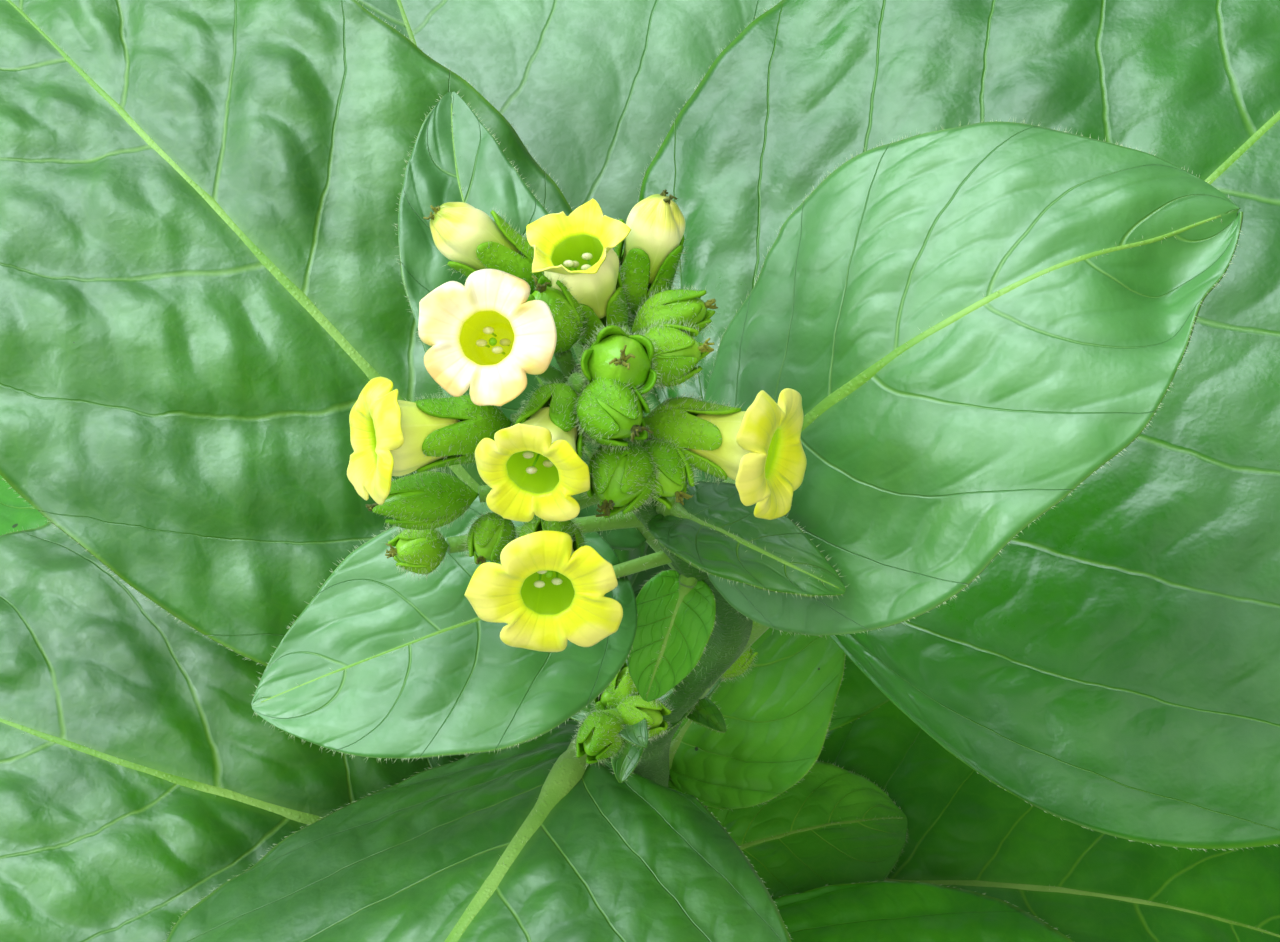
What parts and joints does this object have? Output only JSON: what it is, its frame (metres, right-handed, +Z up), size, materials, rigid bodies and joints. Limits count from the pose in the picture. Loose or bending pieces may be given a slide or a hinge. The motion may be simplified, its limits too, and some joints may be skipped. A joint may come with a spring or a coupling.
{
  "type": "tobacco plant",
  "caption": "Leafy flowering tobacco plant with broad oval leaves on an upright stem and a dense head of short yellow trumpet flowers and green pods.",
  "frame": {"origin": "centre of the flat cut at the foot of the main stem, at ground level", "axes": "+Z up along the stem, +X to the viewer's right and +Y away from the viewer in the pictured view"},
  "size_m": [0.3283, 0.3293, 0.2992],
  "materials": {
    "leaf_green": "soft satin with fine short hairs",
    "stem_green": "matt with fine hairs",
    "calyx_green": "matt with long fine hairs",
    "petal_yellow": "thin satin petal",
    "petal_cream": "thin satin petal"
  },
  "bodies": {
    "root": {"main_stem": "stem_green", "flower_cream": "petal_cream", "flower_middle": "petal_yellow", "flower_front": "petal_yellow", "flower_top": "petal_yellow", "flower_left": "petal_yellow", "flower_right": "petal_yellow", "flower_bud_left": "petal_cream", "flower_bud_right": "petal_cream", "pod_top": "calyx_green", "pod_front_upper": "calyx_green", "pod_front_lower": "calyx_green", "pod_right_front": "calyx_green", "pod_right": "calyx_green", "pod_right_back": "calyx_green", "pod_left": "calyx_green", "pod_left_small": "calyx_green", "pod_left_low": "calyx_green", "pod_back": "calyx_green", "shoot_front": "stem_green", "shoot_back": "stem_green", "shoot_left": "stem_green", "shoot_low": "stem_green", "leaf_crown_right": "leaf_green", "leaf_crown_left": "leaf_green", "leaf_crown_back": "leaf_green", "leaf_crown_small": "leaf_green", "leaf_crown_front": "leaf_green", "leaf_high_front": "leaf_green", "leaf_back_left": "leaf_green", "leaf_right": "leaf_green", "leaf_back": "leaf_green", "leaf_left": "leaf_green", "leaf_front": "leaf_green", "leaf_low_right": "leaf_green", "leaf_low_front": "leaf_green", "leaf_low_small": "leaf_green", "leaf_low_left": "leaf_green", "leaf_low_back": "leaf_green", "leaf_low_back_left": "leaf_green", "leaf_foot_front": "leaf_green", "leaf_foot_right": "leaf_green", "leaf_foot_back": "leaf_green", "leaf_foot_left": "leaf_green"}
  },
  "joints": []
}
